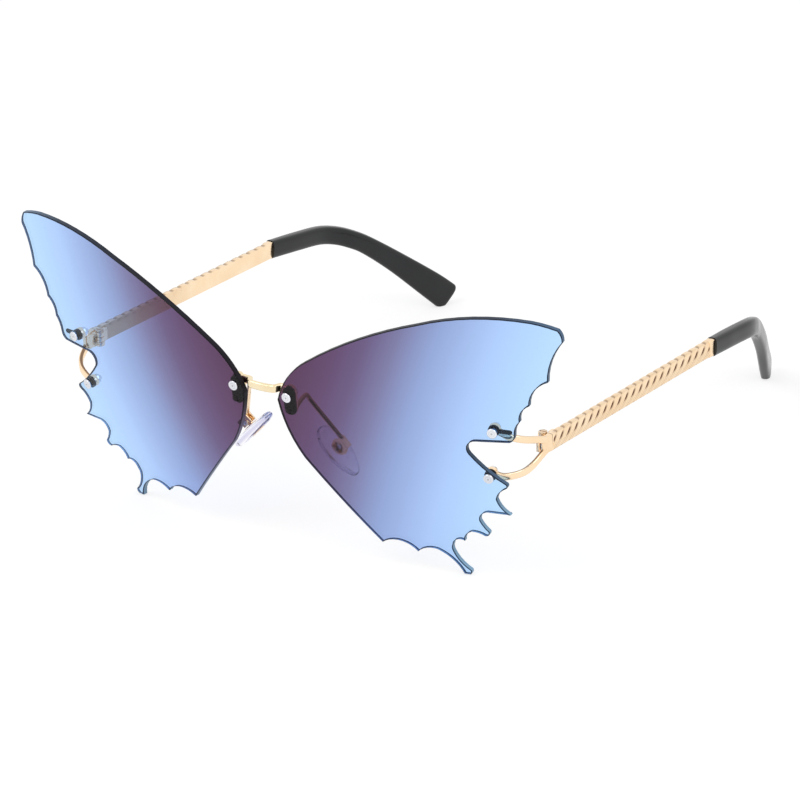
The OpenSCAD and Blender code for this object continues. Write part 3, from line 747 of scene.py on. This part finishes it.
# Strands: where they bend, how they lean below and above it, and the ripples on each
LEAN_BEND = 0.1
LEAN_BELOW = 0.8
LEAN_ABOVE = 0.6
RIPPLES = 3
RIPPLE_LEAN = 0.1
RIPPLE_TOP = 0.6

# Relief: what the body, the strands, the ripples and the pits make of the rope's thickness
BODY_SHARE = 0.42
STRAND_SHARE = 0.4
RIPPLE_SHARE = 0.18
PIT_SHARE = 0.1
CROWN = 0.72

# Pits between the strands: middle and half height on the face, and half width of a strand's pitch
PIT_UP = 0.26
PIT_HIGH = 0.36
PIT_WIDE = 0.15

# Where the rope takes painted shade and falls off towards its edges, over what band, and by what share
DARK_START = 0.86
FALL_START = 0.9
EDGE_BAND = 0.1
EDGE_FALL = 0.45

# Scallops of the top edge, shares of the rope's thickness at the plain ends, and how far from the tip's
# mouth the painted shade there reaches
SCALLOP = 0.26
SCALLOP_PHASE = 0.54
ROOT_SHARE = 0.6
COLLAR_SHARE = 0.97
MOUTH_REACH = 0.25

# Painted shade in the pits, the valleys between strands, the ripples and the edges with their notches
PIT_SHADE = 0.85
VALLEY_SHADE = 0.2
VALLEY_WIDE = 0.06
RIPPLE_SHADE = 0.3
EDGE_SHADE = 0.1
NOTCH_SHADE = 0.4
NOTCH_WIDE = 0.12

# Painted shade of the top edge at and between the notches, of the foot edge, and of the plain ends
TOP_DARK = 0.55
TOP_LIGHT = 0.05
NOTCH_START = 0.3
FOOT_SHADE = 0.3
MOUTH_DARK = 0.5

# Painted shade of the inner face near the hinge, and how far along the bar it reaches
INNER_SHADE = 0.42
INNER_REACH = 0.55

BAR_AXES = turn("Z", BAR_CLOSE) @ turn("X", -BAR_FALL)
HINGE = to_mm(JOINTS["left_temple_fold"]["pos_m"])
BAR_ROOT = HINGE + [BAR_ASIDE, -FREE / 2, 0]


def near_edge(v, start):
    """Goes from 0 to 1 towards the top and foot edges of the bar."""
    return np.clip((abs(v) - start) / EDGE_BAND, 0, 1)


def rope(u, v, pitch):
    """Relief above the plain strip, and the painted shade on it, at u along the bar and v from -1 at its
    foot to 1 at its top."""
    above = v - LEAN_BEND
    phase = (u / pitch - above * np.where(above < 0, LEAN_BELOW, LEAN_ABOVE)) % 1.0
    valley = np.minimum(phase, 1 - phase)
    strand = np.sqrt(np.clip(1 - (2 * phase - 1) ** 2, 0, 1))
    ripple = 0.5 + 0.5 * np.cos(2 * pi * RIPPLES * (phase + RIPPLE_LEAN * v))
    low = np.clip(RIPPLE_TOP - v, 0, 1)
    crown = np.sqrt(np.clip(1 - CROWN * v * v, 0, 1))
    pit = np.exp(-((v - PIT_UP) / PIT_HIGH) ** 4) * np.exp(-(valley / PIT_WIDE) ** 4)
    share = crown * (BODY_SHARE + STRAND_SHARE * strand + RIPPLE_SHARE * ripple * low) - PIT_SHARE * pit
    # Painted shade in the pits, the valleys, the ripples and near the edges
    painted_shade = (PIT_SHADE * pit + VALLEY_SHADE * np.exp(-(valley / VALLEY_WIDE) ** 2)
              + RIPPLE_SHADE * (1 - ripple) ** 3 * low
              + near_edge(v, DARK_START) * (EDGE_SHADE + NOTCH_SHADE * np.exp(-(valley / NOTCH_WIDE) ** 2)))
    return np.maximum(ROPE_T * share, 0), painted_shade


def build_bar(side_name, side):
    pitch = (BAR_LONG - COLLAR - PLAIN) / STRANDS
    vs = np.linspace(-1, 1, ROPE_ROWS)
    fall_off = 1 - EDGE_FALL * near_edge(vs, FALL_START) ** 2
    bend = BAR_EDGE * 0.3
    rings, painted_shades = [], []
    for u in np.append(np.arange(0, BAR_LONG, pitch / STRAND_STEPS), BAR_LONG):
        roped = PLAIN < u < BAR_LONG - COLLAR
        phase = ((u - PLAIN) / pitch - SCALLOP_PHASE) % 1.0
        top, foot = BAR_H / 2, -BAR_H / 2
        if roped:
            top -= SCALLOP * (1 - sqrt(max(0, 1 - (2 * phase - 1) ** 2)))
            level, painted_shade = rope(u - PLAIN, vs, pitch)
        else:
            level = np.full(len(vs), ROPE_T * (ROOT_SHARE if u <= PLAIN else COLLAR_SHARE))
            # Painted shade in the gap at the tip's mouth
            painted_shade = np.full(len(vs), MOUTH_DARK if u > BAR_LONG - MOUTH_REACH else 0.0)
        outer = np.column_stack([BAR_T + level * fall_off, np.where(vs > 0, vs * top, -vs * foot)])
        inner = np.array([[BAR_T * 0.6, top], [bend, top - bend], [0, top - BAR_EDGE],
                          [0, foot + BAR_EDGE], [bend, foot + bend], [BAR_T * 0.6, foot]])
        section = np.vstack([outer, inner])
        rings.append(np.column_stack([section[:, 0], np.full(len(section), u), section[:, 1]]))
        # Painted shade of the inner face near the hinge, and painted shade dashes on the top edge at the
        # notches and on the foot
        shade = INNER_SHADE * max(0, 1 - u / (BAR_LONG * INNER_REACH))
        dash = TOP_DARK if roped and abs(phase - 0.5) > NOTCH_START else TOP_LIGHT
        painted_shades.append(np.append(painted_shade, [dash, dash * 0.4, shade, shade, shade, FOOT_SHADE]))
    shape = Shape()
    shape.add_solid(rings)
    shape.move(BAR_AXES, BAR_ROOT)
    piece = make_piece(side_name + "_rope_bar", shape, side_name + "_temple", side_name + "_temple_bar",
                       [GOLD], side, smooth_angle=50)
    set_values(piece, "painted_shade", np.concatenate(painted_shades))


# Temple tip: shares of its run, inward reach and height, then of its height and thickness
TIP_SHARES = [(0, 0, 1.000, 1, 1), (0.20, 0.055, 0.955, 1, 1), (0.36, 0.105, 0.912, 1, 0.98),
              (0.46, 0.195, 0.860, 1, 0.95), (0.54, 0.310, 0.790, 1, 0.93),
              (0.62, 0.420, 0.695, 1.02, 0.91), (0.76, 0.620, 0.484, 1.18, 0.88),
              (0.92, 0.878, 0.213, 1.5, 0.84), (1, 1, 0.070, 1.58, 0.82)]
MOUTH_SLIM = 0.86
TIP_SQUARE = 0.6
TIP_POINTS = 48

# Share of the last step of the run that the rounded end takes up, and the lip round the mouth
TIP_SHORTER = 0.35
MOUTH_BACK = 0.05
LIP_SIZE = 0.93
LIP_OUT = 0.02


def build_tip(side_name, side):
    end = BAR_ROOT + BAR_AXES @ [(BAR_T + ROPE_T) / 2, BAR_LONG, 0]
    path, sections = [], []
    for run, inward, height, high, thick in smooth_curve(TIP_SHARES):
        path.append(np.array([end[0] - inward * HOOK_IN, end[1] + run * HOOK_RUN, height * end[2]]))
        slim = thick * min(1, MOUTH_SLIM + run)
        sections.append(oval(TIP_T * slim, TIP_H * high, TIP_SQUARE, TIP_POINTS))
    path[-1] = path[-1] + (path[-2] - path[-1]) * TIP_SHORTER
    round_end(path, sections, TIP_ROUND)
    rings = along(path, sections)
    ahead = BAR_AXES[:, 1]
    mouth = rings[0] + ahead * MOUTH_BACK
    lip = mouth.mean(0) + (mouth - mouth.mean(0)) * LIP_SIZE - ahead * LIP_OUT
    rings = [lip, mouth] + rings[1:]
    for ring in rings:
        ring[:, 2] = np.maximum(ring[:, 2], 0.0)
    shape = Shape()
    shape.add_solid(rings)
    make_piece(side_name + "_tip_sleeve", shape, side_name + "_temple", side_name + "_temple_tip",
               [TIP], side, smooth_angle=50)


# End piece: two prongs from the lens screws that close to a loop at the hinge block
UPPER_SHARES = [(0, 0, 0), (0.30, 0.04, 0.17), (0.60, 0.14, 0.38), (0.84, 0.32, 0.54),
                (0.97, 0.62, 0.74), (1, 0.95, 1)]
LOWER_SHARES = [(0, 0, 0), (0.26, 0.09, -0.22), (0.55, 0.20, -0.12), (0.78, 0.31, 0.10),
                (0.92, 0.47, 0.42), (0.98, 0.70, 0.76), (1, 0.95, 1)]

# Points of the prong's section that take a painted dark reflection, and how dark it is
INNER_CORNER = slice(3, 7)
CORNER_SHADE = 0.8

# Hinge block: how far back from its front end, and its size there
BLOCK_ROWS = [(0, 0.5), (0.3, 0.72), (0.9, 0.88), (1.7, 0.97)]


def build_end_piece(lens, side_name, side):
    shape = Shape()
    strip = rounded_strip(PRONG_T, PRONG_H, PRONG_EDGE)
    face = HINGE[1] - FREE * 1.5
    stop = HINGE[1] - FREE / 2 - STOP_GAP
    outer_x = HINGE[0] + BAR_ASIDE + BLOCK_OUT
    shades = []
    for hole, shares, sense, shade in (("upper", UPPER_SHARES, 1, CORNER_SHADE / 2),
                                       ("lower", LOWER_SHARES, -1, CORNER_SHADE)):
        eye, axes = lens.hole_axes(hole)
        ring = plate(circle(EYE_R), EYE_T, EYE_EDGE)
        shape.add_solid([(r - [0, 0, EYE_DEPTH + EYE_T / 2]) @ axes.T + eye for r in ring])
        shades += [0] * (len(ring) * CIRCLE_POINTS)
        middle = eye - axes[:, 2] * EYE_DEPTH
        way = np.array([outer_x - PRONG_T / 2, face, HINGE[2] + sense * PRONG_GAP]) - middle
        path = smooth_curve([middle + np.array(row) * way for row in shares])
        shape.add_solid(along(path, strip))
        # Painted dark reflection along the prong's inner corner
        row = np.zeros(len(strip))
        row[INNER_CORNER] = shade
        shades += list(row) * len(path)
    block = rounded_strip(BLOCK_OUT, BAR_H, BLOCK_EDGE)
    rows = [(face - BLOCK_L + back, size) for back, size in BLOCK_ROWS] + [(stop - 0.1, 1), (stop, 1)]
    shape.add_solid([np.column_stack([outer_x - BLOCK_OUT / 2 - block[:, 0] * size,
                                      np.full(len(block), y), HINGE[2] + block[:, 1] * size])
                     for y, size in rows])
    shades += [0] * (len(shape.points) - len(shades))
    piece = make_piece(side_name + "_end_loop", shape, "front", side_name + "_end_piece", [GOLD], side)
    set_values(piece, "painted_shade", shades)


# Bridge: share of the way to its bend, and how far back and down the strip is there
BRIDGE_ROWS = [(0, 0, 0.2), (0.5, 0, 0.14), (0.85, 0.15, 0.04)]

# How far the strip moves aside from its bend, round the lens edge, and on to its lug
BEND_STEP = 0.15
LUG_STEP = 0.5


def build_bridge(lens):
    eye, axes = lens.hole_axes("bridge")
    peg = lens.hole_axes("peg")[0]
    lug = eye - axes[:, 2] * LUG_DEPTH
    bend = BRIDGE_GAP / 2 - BRIDGE_T / 2 - BEND_STEP
    front = eye[1] + BRIDGE_BACK
    top = eye[2] + BRIDGE_RISE
    rows = [(bend * share, front + back, top - down) for share, back, down in BRIDGE_ROWS]
    rows += [(bend + BEND_STEP, front + LENS_T * 0.8, top),
             (bend + BEND_STEP + LUG_STEP, lug[1] - 0.1, top), (lug[0], lug[1], top)]
    half = smooth_curve(rows)
    shape = Shape()
    strip = rounded_strip(BRIDGE_T, BRIDGE_H, BRIDGE_EDGE, 6)
    shape.add_solid(along(np.vstack([half[:0:-1] * MIRROR, half]), strip))
    outline = capsule(LUG_W / 2, BRIDGE_RISE, np.linalg.norm(peg - eye))
    back = [0, 0, LUG_DEPTH + LUG_T / 2]
    shape.add_both([(r - back) @ axes.T + eye for r in plate(outline, LUG_T, LUG_EDGE)])
    profile = [(PEG_R * 0.8, -PEG_FRONT), (PEG_R, -PEG_FRONT - PEG_EDGE), (PEG_R, -LUG_DEPTH)]
    shape.add_both([r @ axes.T + peg for r in lathe(profile, 24)])
    make_piece("bridge_strip", shape, "front", "bridge_bar", [BRIDGE_GOLD])


# Nose pads: places in their own frame are across the thickness, backwards and upwards
PAD_AXES = turn("Y", -PAD_SPLAY) @ turn("Z", -PAD_TURN)
PAD_MIDDLE = to_mm(JOINTS["left_pad_rock"]["pos_m"]) - PAD_AXES @ [PIN_X, 0, PIN_UP]
PAD_POINTS = 64
PAD_ROWS = 17
PAD_OPEN = 0.35
PAD_FULLNESS = 0.38


# Loop of the pad arm from its lug to its knee: shares of its run back and of its rise
LOOP_SHARES = [(0.45, 0.95), (0.85, 1.25), (1, 0.5)]

# Painted shade on the side of the wire that looks aside, less on its top
WIRE_SHADE = 0.65
WIRE_TOP = 0.2


def build_arm(lens, side_name, side):
    eye, axes = lens.hole_axes("bridge")
    root = eye + axes @ [LUG_W * 0.35, -ARM_DOWN, -LUG_DEPTH - LUG_T / 2]
    end = PAD_MIDDLE + PAD_AXES @ [BOX_BACK_X + BOX_BACK_T / 2, 0, PIN_UP + BOX_L / 2 - ARM_D / 2]
    loop = [root + [0, back * ARM_LOOP, up * ARM_RISE] for back, up in LOOP_SHARES]
    knee = loop.pop()
    points = [root - [0, 0.1, 0], *loop, knee + [0, ARM_D / 2, -ARM_D / 2],
              knee + (end - knee) * 0.12, knee + (end - knee) * 0.5, end]
    rings = along(smooth_curve(points), circle(WIRE_R, 24))
    shape = Shape()
    shape.add_solid(rings)
    piece = make_piece(side_name + "_pad_wire", shape, "front", side_name + "_pad_arm", [GOLD], side,
                       smooth_angle=50)
    outward = np.vstack([ring - ring.mean(0) for ring in rings]) / WIRE_R
    set_values(piece, "painted_shade", WIRE_SHADE * outward[:, 0] - WIRE_TOP * outward[:, 1])


def pad_outline():
    """Egg outline of a nose pad, across and along, its narrow end upwards."""
    a = 2 * pi * np.arange(PAD_POINTS) / PAD_POINTS
    up = np.sin(a)
    wide = PAD_W / 2 * (0.9 + 0.12 * up - 0.06 * up ** 2)
    return np.column_stack([np.sign(np.cos(a)) * abs(np.cos(a)) ** 0.94 * wide, PAD_L / 2 * up])


def build_pad(side_name, side):
    outline = pad_outline()
    rows = np.arange(PAD_ROWS)
    rings = []
    for a in pi * (rows + PAD_OPEN) / (PAD_ROWS - 0.3) - pi / 2:
        out = PAD_T / 2 * sin(a) * (1 if a < 0 else 0.96)
        size = max(cos(a), 0.02) ** PAD_FULLNESS
        rings.append(np.column_stack([np.full(PAD_POINTS, out), outline * size]))
    shape = Shape()
    shape.add_solid(rings)
    shape.move(PAD_AXES, PAD_MIDDLE)
    piece = make_piece(side_name + "_silicone_pad", shape, side_name + "_pad", side_name + "_nose_pad",
                       [SILICONE], side, smooth_angle=60)
    # The rim value places the painted shade on the pad's outer band
    set_values(piece, "rim", np.repeat(np.clip(1.4 - abs(rows - PAD_ROWS // 2) / 2.5, 0, 1), PAD_POINTS))


def build_core(side_name, side):
    """Round plate on the back of the silicone, with a stem that the box screw runs through."""
    shape = Shape()
    shape.add_solid([np.column_stack([CORE_X + r[:, 2], -r[:, 0], PIN_UP + r[:, 1]])
                     for r in plate(circle(CORE_R), CORE_T, CORE_EDGE)])
    stem = rounded_strip(STEM_T, STEM_H, STEM_EDGE)
    stem_rows = ((STEM_X, 1), (PIN_X + 0.45, 1), (PIN_X + 0.65, 0.7))
    shape.add_solid([np.column_stack([np.full(len(stem), x), stem * [-size, size] + [0, PIN_UP]])
                     for x, size in stem_rows])
    shape.move(PAD_AXES, PAD_MIDDLE)
    make_piece(side_name + "_core_plate", shape, side_name + "_pad", side_name + "_pad_core", [GOLD], side)


# Screw head: radius and height of each ring above the lens face, and the painted shade it has there
HEAD_ROWS = [(SHANK_R, -0.3, 0), (SHANK_R, SEAT, 0), (1.16, SEAT, 0), (1.22, 0.08, 0.2),
             (1.22, 0.28, 0), (1.12, 0.4, 0), (0.92, 0.45, 0), (0.78, 0.47, 0), (0.72, 0.44, 0.16),
             (0.62, 0.44, 0.16), (0.56, 0.48, 0), (0.3, 0.5, 0), (0.22, 0.42, 0.3), (0.02, 0.42, 0.45)]
SCREW_POINTS = 32


def build_screws(lens, name, node, holes, grip):
    """Screws with domed heads in the given holes of both lenses."""
    foot = -grip - SCREW_PAST
    rows = [(SHANK_R - POINT_EDGE, foot, 0), (SHANK_R, foot + POINT_EDGE, 0)] + HEAD_ROWS
    profile = [row[:2] for row in rows]
    painted_shades = [row[2] for row in rows]
    shape = Shape()
    for hole in holes:
        point, axes = lens.hole_axes(hole)
        shape.add_both([ring @ axes.T + point for ring in lathe(profile, SCREW_POINTS)])
    piece = make_piece(name, shape, "front", node, [STEEL], smooth_angle=50)
    set_values(piece, "painted_shade", np.tile(np.repeat(painted_shades, SCREW_POINTS), 2 * len(holes)))


def build_bushes(lens):
    """Sleeves and flanges of the lens bushes, the upper ones with a black plate along the prong as a
    painted shadow of the prong.
    """
    shape = Shape()
    sleeve = [(BUSH_INNER_R, -BUSH_FRONT), (BUSH_R, -BUSH_FRONT), (BUSH_R, -LENS_T),
              (FLANGE_R, -LENS_T - SEAT), (FLANGE_R, -LENS_T - FLANGE_T),
              (BUSH_INNER_R, -LENS_T - FLANGE_T)]
    for hole in ("upper", "lower"):
        point, axes = lens.hole_axes(hole)
        shape.add_both([ring @ axes.T + point for ring in lathe(sleeve)])
    point, axes = lens.hole_axes("upper")
    outline = capsule(PLATE_R, 0, PLATE_REACH) @ [[PLATE_SLOPE, 1], [-1, PLATE_SLOPE]]
    prong_shadow_plate = [np.column_stack([r[:, :2], -LENS_T - PLATE_GAP - r[:, 2]])
                 for r in plate(outline, PLATE_T, PLATE_EDGE)]
    shape.add_both([ring @ axes.T + point for ring in prong_shadow_plate])
    make_piece("lens_black_bushes_and_shadow_plates", shape, "front", "lens_bushes", [BLACK])


# Nodes that stay as the frame has them, with rounded edges and a finish
SAME_POINT = 0.0005
SHARP_ANGLE = 35


def dress(node, material, bevel):
    piece = frame["nodes"][node]
    piece.data.materials.clear()
    piece.data.materials.append(material)
    piece.data.polygons.foreach_set("use_smooth", [True] * len(piece.data.polygons))
    weld = piece.modifiers.new("weld", "WELD")
    weld.merge_threshold = SAME_POINT * MM
    rounding = piece.modifiers.new("rounding", "BEVEL")
    rounding.width = bevel * MM
    rounding.segments = 2
    rounding.limit_method = "ANGLE"
    rounding.angle_limit = radians(SHARP_ANGLE)
    rounding.harden_normals = True


# Camera of the photograph: 35 degrees round to the wearer's left, 24 above, turned a little
CAMERA_AZIMUTH = 35.22
CAMERA_HEIGHT = 23.64
CAMERA_ROLL = -2.75
CAMERA_PLACE = (0.86444, -1.24168, 0.67356)
CAMERA_LENS = 315


def build_camera():
    data = bpy.data.cameras.new("camera")
    data.lens = CAMERA_LENS
    data.sensor_width = 36
    data.clip_start = 0.05
    data.clip_end = 20
    camera = bpy.data.objects.new("camera", data)
    turned = (Matrix.Rotation(radians(CAMERA_AZIMUTH), 4, "Z")
              @ Matrix.Rotation(radians(90 - CAMERA_HEIGHT), 4, "X")
              @ Matrix.Rotation(radians(CAMERA_ROLL), 4, "Z"))
    camera.matrix_world = Matrix.Translation(CAMERA_PLACE) @ turned
    bpy.context.scene.collection.objects.link(camera)
    bpy.context.scene.camera = camera


# Floor and room: their light on the object is plain, and what is seen of them is white
FLOOR_REACH = 6.0
FLOOR_DROP = 0.0001
FLOOR_GLOW = 0.7
ROOM_LIGHT = 0.55
AIM = Vector((0, 0, 0.03))


def seen_directly(tree):
    """A factor that is 1 for rays from the camera, mirrors and clear pieces."""
    path = tree.nodes.new("ShaderNodeLightPath")
    factor = path.outputs["Is Camera Ray"]
    for kind in ("Is Glossy Ray", "Is Transmission Ray"):
        most = tree.nodes.new("ShaderNodeMath")
        most.operation = "MAXIMUM"
        tree.links.new(factor, most.inputs[0])
        tree.links.new(path.outputs[kind], most.inputs[1])
        factor = most.outputs[0]
    return factor


def build_floor():
    nodes = Nodes("pale_floor")
    nodes.set(Base_Color=(0.45, 0.45, 0.45, 1), Roughness=0.9, Specular_IOR_Level=0.0,
              Emission_Color=(1, 1, 1, 1))
    strength = nodes.add("Math", operation="MULTIPLY")
    strength.inputs[1].default_value = FLOOR_GLOW
    nodes.join(seen_directly(nodes.tree), strength.inputs[0])
    nodes.join(strength.outputs[0], nodes.shader.inputs["Emission Strength"])
    mesh = bpy.data.meshes.new("floor")
    corners = [(-1, -1), (1, -1), (1, 1), (-1, 1)]
    mesh.from_pydata([(x * FLOOR_REACH, y * FLOOR_REACH, 0) for x, y in corners], [], [[0, 1, 2, 3]])
    mesh.materials.append(nodes.material)
    floor = bpy.data.objects.new("floor", mesh)
    floor.location.z = -FLOOR_DROP
    bpy.context.scene.collection.objects.link(floor)


def build_world():
    world = bpy.data.worlds.new("studio")
    bpy.context.scene.world = world
    world.use_nodes = True
    tree = world.node_tree
    backing = tree.nodes["Background"]
    backing.inputs["Color"].default_value = (1, 1, 1, 1)
    level = tree.nodes.new("ShaderNodeMapRange")
    level.inputs["To Min"].default_value = ROOM_LIGHT
    level.inputs["To Max"].default_value = 1.0
    tree.links.new(seen_directly(tree), level.inputs["Value"])
    tree.links.new(level.outputs["Result"], backing.inputs["Strength"])


def build_lamp(name, place, size, power):
    data = bpy.data.lights.new(name, "AREA")
    data.shape = "DISK"
    data.size = size
    data.energy = power
    lamp = bpy.data.objects.new(name, data)
    lamp.location = place
    lamp.rotation_mode = "QUATERNION"
    lamp.rotation_quaternion = (AIM - Vector(place)).to_track_quat("-Z", "Y")
    bpy.context.scene.collection.objects.link(lamp)


lenses = {name: Lens(name + "_lens", side) for name, side in SIDES.items()}
for side_name, side in SIDES.items():
    build_lens(lenses[side_name], side_name, side)
    build_bar(side_name, side)
    build_tip(side_name, side)
    build_end_piece(lenses[side_name], side_name, side)
    build_arm(lenses[side_name], side_name, side)
    build_pad(side_name, side)
    build_core(side_name, side)
    for part in ("pad_box", "front_leaf", "temple_leaf"):
        dress(side_name + "_" + part, GOLD, bevel=0.06)
    for part in ("pad_screw", "tip_core"):
        dress(side_name + "_" + part, STEEL, bevel=0.04)
    dress(side_name + "_hinge_screw", HINGE_STEEL, bevel=0.04)
build_bridge(lenses["left"])
build_screws(lenses["left"], "bridge_disc_screws", "bridge_screws", ["bridge"], LUG_GRIP)
build_screws(lenses["left"], "lens_disc_screws", "lens_screws", ["upper", "lower"], EYE_GRIP)
build_bushes(lenses["left"])
for node in ("bridge_nuts", "lens_nuts"):
    dress(node, STEEL, bevel=0.05)
dress("bridge_bushes", BLACK, bevel=0.05)

build_camera()
build_floor()
build_world()
build_lamp("soft_key", (-0.5, -0.9, 1.3), size=0.9, power=4.5)
build_lamp("soft_fill", (1.1, -0.3, 0.9), size=0.8, power=3)
bpy.context.scene.view_settings.view_transform = "Standard"
